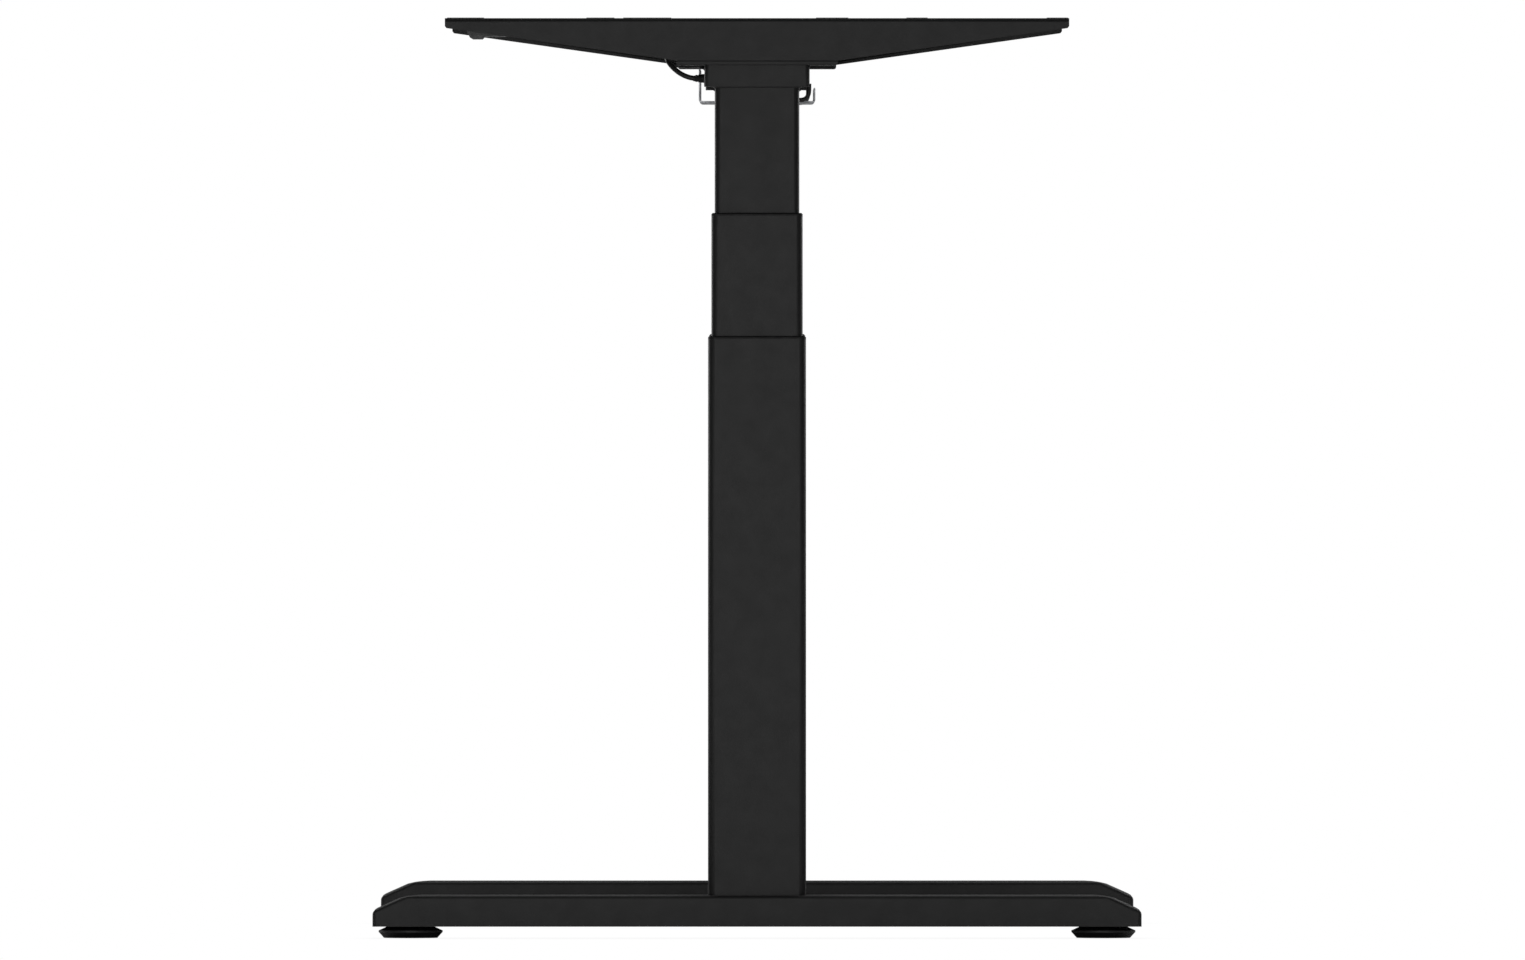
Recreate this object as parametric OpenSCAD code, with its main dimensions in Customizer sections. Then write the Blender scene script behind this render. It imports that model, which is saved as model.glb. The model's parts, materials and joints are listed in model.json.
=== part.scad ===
// Height adjustable standing desk frame, without its desktop.
// Two three-stage telescopic legs with a motor each, joined by a crossbeam that telescopes in width.
// X runs along the desk, -Y faces the user, Z is up. The origin is on the floor, midway between the legs.

/* [Frame] */
// Overall width, over the two side brackets
frame_w = 1000; // [960:10:1100]
// Height of the frame's top above the floor, as modelled
top_h = 826; // [760:1:900]
// Length of each foot, front to back
foot_len = 690; // [600:5:760]
// Length of each side bracket, front to back
bracket_len = 560; // [480:5:620]

/* [Columns] */
// Depth of the outer column tube, front to back
col_depth = 88; // [84:1:96]
// Width of the outer column tube, along the desk
col_width = 60; // [56:1:70]
// How much smaller each inner tube is than the one around it
tube_step = 6; // [6:0.5:7]
// Wall thickness of the column tubes
tube_wall = 1.8; // [1.5:0.1:2]
// Length of the outer tube with its collar
outer_len = 502; // [480:1:510]
// Length of the middle tube with its collar
mid_len = 495; // [470:1:500]
// Length of the inner tube
inner_len = 505; // [480:1:510]
// Height of the middle tube that shows between the two collars
mid_shown = 110.5; // [60:0.5:150]

/* [Foot] */
// Width of the foot, along the desk
foot_w = 80; // [70:1:90]
// Height of the foot's steel body
foot_h = 27.8; // [24:0.2:34]
// Thickness of the foot's sheet
foot_wall = 2.5; // [2:0.5:3]
// Gap under the foot, filled by the levelling glides
foot_gap = 10.5; // [10.5:0.1:14]
// Widest radius of a levelling glide
glide_r = 28.4; // [24:0.2:32]

/* [Head] */
// Depth of the head box, front to back
head_depth = 94.4; // [90:0.2:100]
// Height of the head box
head_h = 19.3; // [18:0.1:24]
// Thickness of the head plate
plate_t = 4; // [3:0.5:6]
// Depth of the head plate, front to back
plate_depth = 145; // [140:1:160]
// Height of the side bracket at its two ends
bracket_end_h = 9.2; // [8:0.1:14]

/* [Hidden] */
$fn = 48;
eps = 0.01;

// Colours
black = [0.17, 0.17, 0.17];
plastic = [0.08, 0.08, 0.08];
rubber = [0.05, 0.05, 0.05];
zinc = [0.70, 0.71, 0.72];
steel = [0.60, 0.61, 0.62];
nylon = [0.85, 0.84, 0.80];
alloy = [0.66, 0.67, 0.68];

// Running gaps: between a shaft and its bore, and between other parts that move past each other
shaft_gap = 0.05;
slide_gap = 0.4;

// Side bracket and head, in each leg's own frame: x = 0 on the column's axis, +x outboard
sheet = 2.5;                     // side bracket sheet
bracket_out = 45;                // outer face of the bracket's web
flange_w = 50;                   // width of the bracket's top flange
lip_w = 12;                      // width of the stiffening lip under the web's slopes
foot_lip_w = 27;                 // width of the lip that is bolted to the head plate
pad_t = 0.5;                     // thickness of the pads under the desktop
leg_x = frame_w / 2 - bracket_out;
head_w = 76;                     // head box, along the desk
head_wall = 1.8;

// Heights
bracket_top = top_h - pad_t;
plate_top = top_h - 38.6;
plate_z = plate_top - plate_t;
head_z = plate_z - head_h;
foot_top = foot_gap + foot_h;
outer_top = foot_top + outer_len;
mid_top = outer_top + mid_shown;
mid_z = mid_top - mid_len;
inner_z = plate_z - inner_len;

// Columns
mid_depth = col_depth - tube_step;
mid_width = col_width - tube_step;
inner_depth = mid_depth - tube_step;
inner_width = mid_width - tube_step;
outer_r = 6;                     // corner radii of the three tubes
mid_r = 5.5;
inner_r = 5;
liner = tube_step / 2 - tube_wall - slide_gap;  // thickness of the slide liners
collar_h = 2.5;
collar_bevel = 1.2;
skirt_h = 28;                    // depth of a collar's skirt inside its tube
pad_h = 40;                      // height of the slide pads at a tube's lower end
base_t = 6;                      // plate welded into the outer tube's foot
floor_t = 4;                     // plates welded into the middle and inner tubes

// Screw drive
base_screw_r = 7;
base_screw_bore = 5;
base_screw_len = 375;
hollow_r = 11;
hollow_bore = 7.5;
hollow_len = 400;
hollow_nut_h = 20;
hex_bush_h = 12;
hex_flats = 8;
drive_len = 470;
journal_r = 6;
journal_len = 24;

// Worm gear: one start on the worm, against the wheel's teeth
gear_module = 1.5;
wheel_teeth = 20;
wheel_h = 6;
wheel_tip_r = 15.9;
wheel_root_r = 13.3;
wheel_pitch_r = gear_module * wheel_teeth / 2;
worm_pitch = PI * gear_module;
worm_pitch_r = 5;
worm_tip_r = 6.2;
worm_root_r = 3.7;
worm_len = 16;
worm_shaft_r = 3;
worm_y = -(wheel_pitch_r + worm_pitch_r);
worm_z = plate_z - 7.9;

// Motor
motor_r = 21;
motor_len = 90;
motor_cap_h = 4;
pilot_r = 7.9;
pilot_len = 8;
lead_r = 2;
lead_route = [                   // in the leg's frame
    [-30, 46.8, 767], [-30, 46.8, 763], [-30, 46.6, 759], [-30, 45.4, 755.5], [-30, 42.8, 753.1],
    [-30, 39, 752.3], [-30, 31, 752.3], [-30, 22, 752.3], [-30, 13, 752.3], [-30, 6, 752.9],
    [-30.1, 0, 754.4], [-30.6, -5, 756.3], [-32, -9.3, 757.9], [-34.6, -12.2, 758.9], [-38, -13, 759.3],
    [-44, -13, 759.3],
];
lead_end = lead_route[len(lead_route) - 1];

// Crossbeam
rail_y = 60;
rail_w = 22;
rail_h = 35;
rail_wall = 1.8;
rail_half = leg_x - 50;
end_rail_w = rail_w - 2 * (rail_wall + slide_gap);
end_rail_h = rail_h - 2 * (rail_wall + slide_gap);
end_rail_len = leg_x - 15;
rail_z = plate_top + 0.3;
shoe_len = 41;
rail_out = 5;                    // outer end of the end rails, in the leg's frame
clamp_x = rail_half - 20;

// Cable tray, hangers and control box
tray_half = 300;
tray_w = 105;
tray_t = 1.5;
tray_r = 3;
tray_front_h = 30.7;
tray_rear_h = 13.3;
tray_top = plate_z - 2.4;        // top edge of the tray's front wall
tray_z = tray_top - tray_front_h;
hanger_x = 220;
hanger_w = 24;
hanger_t = 2.3;
hanger_leg_y = 33;
box_size = [240, 72, 30];
box_z = tray_z + tray_t;
inlet_y = 20;
gland_r = 4.5;
gland_len = 4;
gland_z = box_z + 16.2;

// Handset, in front of the right leg
hand_x = leg_x - 63;
hand_w = 108;
hand_top = top_h - 4.5;
hand_tilt = atan(0.5);           // the face leans back from top to bottom
face_y = -261.25;
face_z = hand_top - 6.5;
face_wall = 2;
button_w = 12;
button_h = 5.6;
button_out = 0.8;

// Route of the right motor's cable, points chosen by hand: up beside the crossbeam, over the tray's
// front wall, then one long fold on the tray's floor, which is the slack for the crossbeam's travel
motor_cable_r = 2.3;
motor_route = [
    [443, -48.7, 771.6], [443, -53, 771.6], [442.5, -59.5, 772.2], [441, -67, 775], [438.5, -74, 780],
    [435, -79.5, 786.5], [428, -81.5, 792], [415, -80.5, 795], [395, -77, 795.3], [360, -75, 795],
    [320, -75, 794.5], [285, -75, 795], [250, -75.5, 795.2], [222, -77.5, 794.8], [205, -80, 793],
    [193, -80.5, 789.5], [185.5, -76.5, 785.8], [181, -70, 784.4], [178.8, -61.5, 784.3],
    [178.7, -53.5, 784.4], [180, -48.3, 783], [182.2, -44, 778.8], [185.5, -40, 772], [190, -35.3, 765.3],
    [196.5, -29.5, 760], [204.5, -23.5, 757.4], [214, -19, 756.8], [226, -17.5, 756.8], [237, -19, 756.5],
    [249, -23, 755.2], [262, -27, 754.3], [274, -28.5, 754.2], [284, -25, 754.2], [289.5, -16.5, 754.2],
    [287, -7.5, 754.2], [277, -3.2, 754.2], [262, -3, 754.3],
    [248, -3.5, 755.3], [236, -5, 756.6], [226, -7, 756.8], [214, -10, 756.8], [203, -12.5, 757],
    [189, -16, 758.4], [174, -20, 761.5], [160, -23, 764.8], [147, -24.7, 767.2], [136, -25, 768],
    [124, -25, 768],
];

// ---------- shared shapes ----------

// A rectangle with true round corners, centred
module rounded(x, y, r) {
    square([x - 2 * r, y], center = true);
    square([x, y - 2 * r], center = true);
    for (i = [-1, 1], j = [-1, 1])
        translate([i * (x / 2 - r), j * (y / 2 - r)]) circle(r);
}

// A rectangular tube standing on z = 0
module box_tube(x, y, r, wall, h) {
    linear_extrude(h) difference() {
        rounded(x, y, r);
        rounded(x - 2 * wall, y - 2 * wall, max(r - wall, 0.5));
    }
}

// A rectangular tube lying along X, centred on Y and Z, from x = 0
module lying_tube(length, y, z, r, wall) {
    rotate([90, 0, 90]) box_tube(y, z, r, wall, length);
}

// A flat outline given in Y and Z, extruded along X
module along_x(length) {
    rotate([90, 0, 90]) linear_extrude(length) children();
}

// Places its children on one leg: side = 1 is the right leg, -1 its mirror image
module leg(side) {
    mirror([side < 0 ? 1 : 0, 0, 0]) translate([leg_x, 0, 0]) children();
}

// A cylinder along X that starts at x = 0
module rod_x(r, length) {
    rotate([0, 90, 0]) cylinder(r = r, h = length);
}

// A tube swept along a list of points, closed at both ends
function unit(v) = v / norm(v);
function heading(p, i) = unit(p[min(i + 1, len(p) - 1)] - p[max(i - 1, 0)]);
// A direction square to the route at each point, carried along from the point before it
function square_to(p, i) =
    let (t = heading(p, i), from = i == 0 ? [1, 0.2, 0.1] : square_to(p, i - 1)) unit(from - (from * t) * t);
function ring_at(p, i, r, n) =
    let (u = square_to(p, i), v = cross(heading(p, i), u))
    [for (k = [0 : n - 1]) p[i] + r * (cos(360 * k / n) * u + sin(360 * k / n) * v)];
module sweep(p, r, n) {
    rings = len(p);
    sides = [
        for (i = [0 : rings - 2], k = [0 : n - 1], half = [0, 1])
            half == 0
                ? [i * n + k, i * n + (k + 1) % n, (i + 1) * n + k]
                : [i * n + (k + 1) % n, (i + 1) * n + (k + 1) % n, (i + 1) * n + k]
    ];
    first = [for (k = [n - 1 : -1 : 0]) k];
    last = [for (k = [0 : n - 1]) (rings - 1) * n + k];
    polyhedron([for (i = [0 : rings - 1]) each ring_at(p, i, r, n)], concat(sides, [first, last]));
}

// ---------- base: foot, outer column, base screw ----------

glide_y = foot_len / 2 - 34;
foot_r = 3.5;                    // radius of the foot's long edges
// The sloped nose at each end of the foot, from its low end to its high end. Each point is given as
// [in from the foot's end, up from its underside].
slope_low = [4.3, 16.1];
slope_top = [24, 24.9];
slope_angle = atan((slope_top[1] - slope_low[1]) / (slope_top[0] - slope_low[0]));

// Half of the foot's side outline: [in from its end, up from its underside]
foot_outside = [
    [0, 0], [0, 11.2], [0.4, 12.7], [1.8, 14.5], slope_low, slope_top, [27.7, 25.8], [32, 26.7],
    [38, 27.4], [45, foot_h],
];
foot_inside = [
    [foot_wall, -1], [foot_wall, 12], [25, 22.3], [45, foot_h - foot_wall],
];

// Both halves of a side outline, at the foot's place
module foot_side(half) {
    front = [for (p = half) [p[0] - foot_len / 2, foot_gap + p[1]]];
    rear = [for (i = [len(half) - 1 : -1 : 0]) [foot_len / 2 - half[i][0], foot_gap + half[i][1]]];
    polygon(concat(front, rear));
}

// A long bar along Y with its upper edges rounded, its top at z = 0
module foot_bar() {
    rotate([90, 0, 0]) linear_extrude(3 * foot_len, center = true) translate([0, -foot_len / 2])
        intersection() {
            rounded(foot_w, foot_len, foot_r);
            translate([-foot_w / 2, -foot_len / 2 + 2 * foot_r]) square([foot_w, foot_len]);
        }
}

// The same bar laid along the nose's slope: j = -1 at the front, 1 at the rear
module sloped_bar(j) {
    translate([0, j * (foot_len / 2 - slope_top[0]), foot_gap + slope_top[1]])
        rotate([-j * slope_angle, 0, 0]) foot_bar();
}

// The foot's outside, with round edges along its top, down its two slopes and up its four corners
module foot_skin() {
    intersection() {
        translate([-foot_w / 2, 0, 0]) along_x(foot_w) foot_side(foot_outside);
        translate([0, 0, foot_top]) foot_bar();
        sloped_bar(-1);
        sloped_bar(1);
        linear_extrude(2 * foot_top) rounded(foot_w, foot_len, foot_r);
    }
}

column_bolts_xy = [[-18, -28], [18, -28], [-18, 28], [18, 28]];
bolt_r = 3.9;

module foot() {
    color(black) difference() {
        union() {
            difference() {
                foot_skin();
                translate([-foot_w / 2 + foot_wall, 0, 0])
                    along_x(foot_w - 2 * foot_wall) foot_side(foot_inside);
            }
            for (j = [-1, 1]) translate([0, j * glide_y, foot_gap]) cylinder(r = 8.5, h = 24);
        }
        for (j = [-1, 1])
            translate([0, j * glide_y, foot_gap - 1]) cylinder(r = 4 + shaft_gap, h = 22.5);
        for (p = column_bolts_xy)
            translate([p[0], p[1], foot_top - foot_wall - 1]) cylinder(r = 4.2, h = foot_wall + 2);
    }
}

module outer_column() {
    color(black) difference() {
        translate([0, 0, foot_top]) union() {
            box_tube(col_width, col_depth, outer_r, tube_wall, outer_len - collar_h);
            linear_extrude(base_t) rounded(col_width - tube_wall, col_depth - tube_wall, outer_r - 1);
        }
        for (p = column_bolts_xy)
            translate([p[0], p[1], foot_top - 1]) cylinder(r = bolt_r + shaft_gap, h = base_t + 2);
    }
}

module column_bolts() {
    head_z0 = foot_top - foot_wall - 5;
    color(zinc) for (p = column_bolts_xy) translate([p[0], p[1], 0]) difference() {
        union() {
            translate([0, 0, head_z0]) cylinder(r = 6.5, h = 5);
            translate([0, 0, head_z0 + 4]) cylinder(r = bolt_r, h = foot_wall + base_t + 1);
        }
        translate([0, 0, head_z0 - 1]) cylinder(r = 3.4, h = 4, $fn = 6);
    }
}

module base_screw() {
    z = foot_top + base_t;
    color(steel) difference() {
        translate([0, 0, z]) union() {
            cylinder(r = 15, h = 5);
            cylinder(r = base_screw_r, h = base_screw_len);
        }
        translate([0, 0, z - 1]) cylinder(r = base_screw_bore, h = base_screw_len + 2);
    }
}

// Two wedges that bevel the upper edges of a block's sides at x = -half and x = half
module bevel_wedges(half, top) {
    for (i = [0, 180]) rotate(i) translate([half, 150, top]) rotate([90, 0, 0]) linear_extrude(300) polygon([
        [1, 1], [-collar_bevel - 1, 1], [-collar_bevel, 0], [0, -collar_bevel], [1, -collar_bevel - 1],
    ]);
}

// A collar on a tube's upper end, with a skirt down inside the tube that guides the next one
module collar(width, depth, r, top) {
    in_w = width - tube_step + 2 * slide_gap;
    in_d = depth - tube_step + 2 * slide_gap;
    color(plastic) difference() {
        union() {
            translate([0, 0, top - collar_h]) linear_extrude(collar_h) rounded(width, depth, r);
            translate([0, 0, top - collar_h - skirt_h]) linear_extrude(skirt_h + eps)
                rounded(width - 2 * tube_wall, depth - 2 * tube_wall, r - tube_wall);
        }
        translate([0, 0, top - collar_h - skirt_h - 1]) linear_extrude(skirt_h + collar_h + 2)
            rounded(in_w, in_d, r - tube_wall);
        bevel_wedges(width / 2, top);
        rotate(90) bevel_wedges(depth / 2, top);
    }
}

module outer_collar() {
    collar(col_width, col_depth, outer_r, outer_top);
}

module glide() {
    color(rubber) {
        rotate_extrude() polygon([
            [0, 0], [glide_r - 4.4, 0], [glide_r, 4.9], [glide_r, 6.8], [glide_r - 7.2, 10.2], [0, 10.2],
        ]);
        translate([0, 0, 10]) cylinder(r = 4, h = 20);
    }
}

// ---------- middle stage ----------

module mid_tube() {
    color(black) difference() {
        translate([0, 0, mid_z]) union() {
            box_tube(mid_width, mid_depth, mid_r, tube_wall, mid_len - collar_h);
            linear_extrude(floor_t) rounded(mid_width - tube_wall, mid_depth - tube_wall, mid_r - 1);
        }
        translate([0, 0, mid_z - 1]) cylinder(r = base_screw_r + 1, h = floor_t + 2);
    }
}

// Thin pads round a tube's lower end, which bear on the tube outside it
module slide_pads(width, depth, r, z) {
    color(nylon) translate([0, 0, z]) linear_extrude(pad_h) difference() {
        rounded(width + 2 * liner, depth + 2 * liner, r + liner);
        rounded(width, depth, r);
    }
}

module mid_slides() {
    collar(mid_width, mid_depth, mid_r, mid_top);
    slide_pads(mid_width, mid_depth, mid_r, mid_z + 4);
}

// Turns on the middle stage: it climbs the fixed base screw and drives the inner stage's nut
module hollow_screw() {
    z = mid_z + floor_t + 0.3;
    color(steel) difference() {
        translate([0, 0, z]) union() {
            cylinder(r = 17, h = 5);
            cylinder(r = hollow_r, h = hollow_len);
        }
        translate([0, 0, z - 1]) cylinder(r = base_screw_r + shaft_gap, h = hollow_nut_h + 1);
        translate([0, 0, z + hollow_nut_h - eps])
            cylinder(r = hollow_bore, h = hollow_len - hollow_nut_h - hex_bush_h);
        translate([0, 0, z + hollow_len - hex_bush_h - 1])
            cylinder(r = (hex_flats / 2 + 0.1) / cos(30), h = hex_bush_h + 2, $fn = 6);
    }
}

// ---------- inner stage and head ----------

nut_r = 16;

module inner_tube() {
    color(black) difference() {
        translate([0, 0, inner_z]) union() {
            box_tube(inner_width, inner_depth, inner_r, tube_wall, inner_len);
            linear_extrude(floor_t) rounded(inner_width - tube_wall, inner_depth - tube_wall, inner_r - 1);
        }
        translate([0, 0, inner_z - 1]) cylinder(r = nut_r, h = floor_t + 2);
        translate([-inner_width / 2 - 1, worm_y, worm_z]) rod_x(4, tube_wall + 2);
    }
}

module inner_slides() {
    slide_pads(inner_width, inner_depth, inner_r, inner_z + 4);
}

module stage_nut() {
    color(nylon) difference() {
        translate([0, 0, inner_z]) union() {
            cylinder(r = nut_r, h = 24);
            translate([0, 0, floor_t]) cylinder(r = nut_r + 4, h = 4);
        }
        translate([0, 0, inner_z - 1]) cylinder(r = hollow_r + shaft_gap, h = 26);
    }
}

module drive_shaft() {
    top = plate_z - 1.9;
    wheel_z = worm_z - wheel_h / 2;
    half_tooth = asin(0.75 / wheel_pitch_r);
    color(steel) {
        translate([0, 0, top - drive_len]) cylinder(r = hex_flats / 2 / cos(30), h = drive_len - 1, $fn = 6);
        translate([0, 0, top - journal_len]) cylinder(r = journal_r, h = journal_len);
        translate([0, 0, wheel_z]) linear_extrude(wheel_h) {
            circle(wheel_root_r);
            for (k = [0 : wheel_teeth - 1]) rotate(-90 + (k + 0.5) * 360 / wheel_teeth) polygon([
                [wheel_root_r - 1, -1.1], [wheel_tip_r, -0.5], [wheel_tip_r, 0.5], [wheel_root_r - 1, 1.1],
            ]);
        }
    }
}

// The worm's thread, as the outline of one slice across it
function worm_slice() = let (a = 88, b = 46, c = 30, sunk = worm_root_r - 0.8) [
    for (s = [[-a, sunk], [-b, worm_pitch_r], [-c, worm_tip_r], [0, worm_tip_r],
              [c, worm_tip_r], [b, worm_pitch_r], [a, sunk], [180, 1]])
        s[1] * [cos(s[0]), sin(s[0])]
];

module worm() {
    turns = worm_len / worm_pitch;
    color(steel) translate([0, worm_y, worm_z]) {
        translate([-46, 0, 0]) rod_x(worm_shaft_r, 64);
        translate([-worm_len / 2 - 1.5, 0, 0]) rod_x(worm_root_r, worm_len + 3);
        // The thread starts so that it faces the wheel, along +Y, at x = 0
        rotate([0, 90, 0]) translate([0, 0, -worm_len / 2])
            rotate(90 - 180 * turns) linear_extrude(
                worm_len, twist = -360 * turns, slices = round(12 * turns), segments = 8, $fn = 8
            ) polygon(worm_slice());
    }
}

module gearbox() {
    bottom = plate_z - 26.9;
    top = plate_z - 0.2;
    inside_x = inner_width - 2 * tube_wall;
    inside_y = inner_depth - 2 * tube_wall;
    color(alloy) difference() {
        translate([0, 0, bottom]) linear_extrude(top - bottom)
            rounded(inside_x - 0.2, inside_y - 0.2, inner_r - tube_wall);
        translate([0, 0, worm_z - 7]) cylinder(r = 17.5, h = 12.4);
        translate([-11.5, worm_y, worm_z]) rod_x(7, 23);
        translate([-30, worm_y, worm_z]) rod_x(worm_shaft_r + shaft_gap, 49);
        translate([0, 0, bottom - 1]) cylinder(r = journal_r + shaft_gap, h = top - bottom);
    }
}

module head_box() {
    gland_at = [-12, -head_depth / 2, head_z + 7.5];
    color(black) difference() {
        union() {
            translate([0, 0, head_z]) linear_extrude(head_h) rounded(head_w, head_depth, 4);
            translate(gland_at) rotate([90, 0, 0]) cylinder(r = 4, h = 1.5);
        }
        translate([0, 0, head_z + head_wall]) linear_extrude(head_h)
            rounded(head_w - 2 * head_wall, head_depth - 2 * head_wall, 4 - head_wall);
        translate([0, 0, head_z - 1])
            linear_extrude(head_wall + 2) rounded(inner_width, inner_depth, inner_r);
        translate([-head_w / 2 - 1, worm_y, worm_z]) rod_x(8, head_wall + 2);
        translate([-32.2, 44.6, head_z - 1]) cube([4.4, 6, 4.4]);
    }
}

// Holes in the head plate: the bracket's screws outboard, the rails' countersunk screws inboard
bracket_screw_x = 31;
bracket_screw_y = [-60, -22, 22, 60];
rail_screw_xy = [[-28, -rail_y], [-6, -rail_y], [-28, rail_y], [-6, rail_y]];

module countersink(gap) {
    translate([0, 0, plate_z - eps]) cylinder(r1 = 5.5 + gap, r2 = 2.9 + gap, h = 2.6);
}

module head_plate() {
    color(black) difference() {
        translate([-head_w / 2, 0, 0]) along_x(head_w / 2 + bracket_out) polygon([
            [-plate_depth / 2 + 1.2, plate_z], [plate_depth / 2 - 1.2, plate_z],
            [plate_depth / 2, plate_z + 1.2], [plate_depth / 2, plate_top],
            [-plate_depth / 2, plate_top], [-plate_depth / 2, plate_z + 1.2],
        ]);
        for (y = bracket_screw_y)
            translate([bracket_screw_x, y, plate_z - 1]) cylinder(r = 3, h = plate_t + 2);
        for (p = rail_screw_xy) translate([p[0], p[1], 0]) {
            countersink(shaft_gap);
            translate([0, 0, plate_z]) cylinder(r = 3, h = plate_t + 1);
        }
    }
}

module motor() {
    start = -head_w / 2;
    color(plastic) difference() {
        union() {
            translate([start - motor_len + motor_cap_h, worm_y, worm_z])
                rod_x(motor_r, motor_len - motor_cap_h);
            translate([start - motor_len, worm_y, worm_z]) rod_x(motor_r - 2, motor_cap_h + eps);
            translate([start - 1, worm_y, worm_z]) rod_x(pilot_r, pilot_len + 1);
        }
        translate([start - 10, worm_y, worm_z]) rod_x(worm_shaft_r + shaft_gap, 20);
        translate([start - 6.2, lead_end[1], lead_end[2]]) rod_x(lead_r + 0.5, 7);
    }
}

// The motor's lead: out of the head box's rear edge, under the head and into the end of the can
module motor_lead() {
    color(rubber) sweep(lead_route, lead_r, 8);
}

// Side outline of the bracket's web
module web_outline() {
    half = bracket_len / 2;
    end_z = bracket_top - bracket_end_h;
    polygon([
        [-half, bracket_top], [-half, end_z + 2], [-half + 1.5, end_z + 0.2],
        [-plate_depth / 2, plate_top], [plate_depth / 2, plate_top],
        [half - 1.5, end_z + 0.2], [half, end_z + 2], [half, bracket_top],
    ]);
}

desk_hole_x = 15;
desk_hole_y = [175, 225];
desk_hole_r = 3.5;
flange_screw_xy = [[27, -242], [27, -222]];
bend_r = 3.5;                    // outer radius of the sheet's bend between web and flange

// A long block that ends in that bend at its upper outer edge
module inside_bend() {
    deep = 60;
    rotate([90, 0, 0]) linear_extrude(2 * bracket_len, center = true) {
        translate([bracket_out - bend_r, bracket_top - bend_r]) circle(bend_r);
        translate([bracket_out - deep, bracket_top - deep]) square([deep, deep - bend_r]);
        translate([bracket_out - deep, bracket_top - deep]) square([deep - bend_r, deep]);
    }
}

module side_bracket() {
    half = bracket_len / 2;
    end_z = bracket_top - bracket_end_h;
    web_x = bracket_out - sheet;
    color(black) difference() {
        intersection() {
            union() {
                translate([web_x, 0, 0]) along_x(sheet) web_outline();
                translate([bracket_out - flange_w / 2, 0, bracket_top - sheet])
                    linear_extrude(sheet) rounded(flange_w, bracket_len, 2);
                translate([bracket_out - foot_lip_w, -plate_depth / 2, plate_top])
                    cube([foot_lip_w, plate_depth, sheet]);
                for (j = [-1, 1]) translate([bracket_out - lip_w, 0, 0]) along_x(lip_w) polygon([
                    [j * (half - 6), end_z + 0.85], [j * plate_depth / 2, plate_top],
                    [j * plate_depth / 2, plate_top + sheet], [j * (half - 6), end_z + 0.85 + sheet],
                ]);
            }
            inside_bend();
        }
        for (y = desk_hole_y, j = [-1, 1])
            translate([desk_hole_x, j * y, bracket_top - sheet - 1])
                cylinder(r = desk_hole_r, h = sheet + 2);
        for (y = bracket_screw_y)
            translate([bracket_screw_x, y, plate_top - 1]) cylinder(r = 3.2, h = sheet + 2);
        for (p = flange_screw_xy)
            translate([p[0], p[1], bracket_top - sheet - 1]) cylinder(r = 2, h = sheet + 2);
    }
}

module head_screws() {
    seat = plate_top + sheet;
    color(zinc) {
        for (y = bracket_screw_y) translate([bracket_screw_x, y, 0]) difference() {
            union() {
                translate([0, 0, plate_z + 0.4]) cylinder(r = 2.95, h = plate_t + sheet);
                translate([0, 0, seat]) cylinder(r = 5.5, h = 3.5);
            }
            translate([0, 0, seat + 1.5]) cylinder(r = 2.3, h = 3, $fn = 6);
        }
        for (p = rail_screw_xy) translate([p[0], p[1], 0]) difference() {
            union() {
                countersink(0);
                translate([0, 0, plate_z + 2]) cylinder(r = 2.9, h = plate_t);
            }
            translate([0, 0, plate_z - 1]) cylinder(r = 1.8, h = 2.6, $fn = 6);
        }
    }
}

// Thin pads on the bracket's top flange, where the desktop rests: [front edge, rear edge]
pad_spans = [[-278, -245], [-153, -128], [-120, -77], [53, 82], [134, 153], [260, 279]];

module desk_pads() {
    color(rubber) for (s = pad_spans)
        translate([bracket_out - flange_w / 2, (s[0] + s[1]) / 2, bracket_top])
            linear_extrude(pad_t) rounded(flange_w - 12, s[1] - s[0], 2);
}

module end_rails() {
    mid_h = rail_z + rail_h / 2;
    color(black) for (j = [-1, 1]) translate([0, j * rail_y, 0]) difference() {
        union() {
            translate([rail_out - end_rail_len, 0, mid_h])
                lying_tube(end_rail_len, end_rail_w, end_rail_h, 2.2, rail_wall);
            translate([rail_out - shoe_len, -rail_w / 2, plate_top])
                cube([shoe_len, rail_w, mid_h - end_rail_h / 2 - plate_top + rail_wall / 2]);
        }
        for (p = rail_screw_xy) translate([p[0], 0, plate_top - 1]) cylinder(r = 3, h = 8);
    }
}

// ---------- crossbeam ----------

module centre_rails() {
    color(black) for (j = [-1, 1]) translate([0, j * rail_y, rail_z + rail_h / 2]) difference() {
        translate([-rail_half, 0, 0]) lying_tube(2 * rail_half, rail_w, rail_h, 3, rail_wall);
        for (i = [-1, 1]) translate([i * clamp_x, j * rail_w / 2, 0]) rotate([90, 0, 0])
            cylinder(r = 3, h = 6, center = true);
    }
}

module clamp_screws() {
    color(zinc) for (i = [-1, 1], j = [-1, 1])
        translate([i * clamp_x, j * (rail_y + rail_w / 2), rail_z + rail_h / 2]) rotate([-90 * j, 0, 0])
            difference() {
                union() {
                    cylinder(r = 6.5, h = 5);
                    translate([0, 0, 0.2 - rail_wall]) cylinder(r = 2.95, h = 3);
                }
                translate([0, 0, 2]) cylinder(r = 2.9, h = 4, $fn = 6);
            }
}

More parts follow.
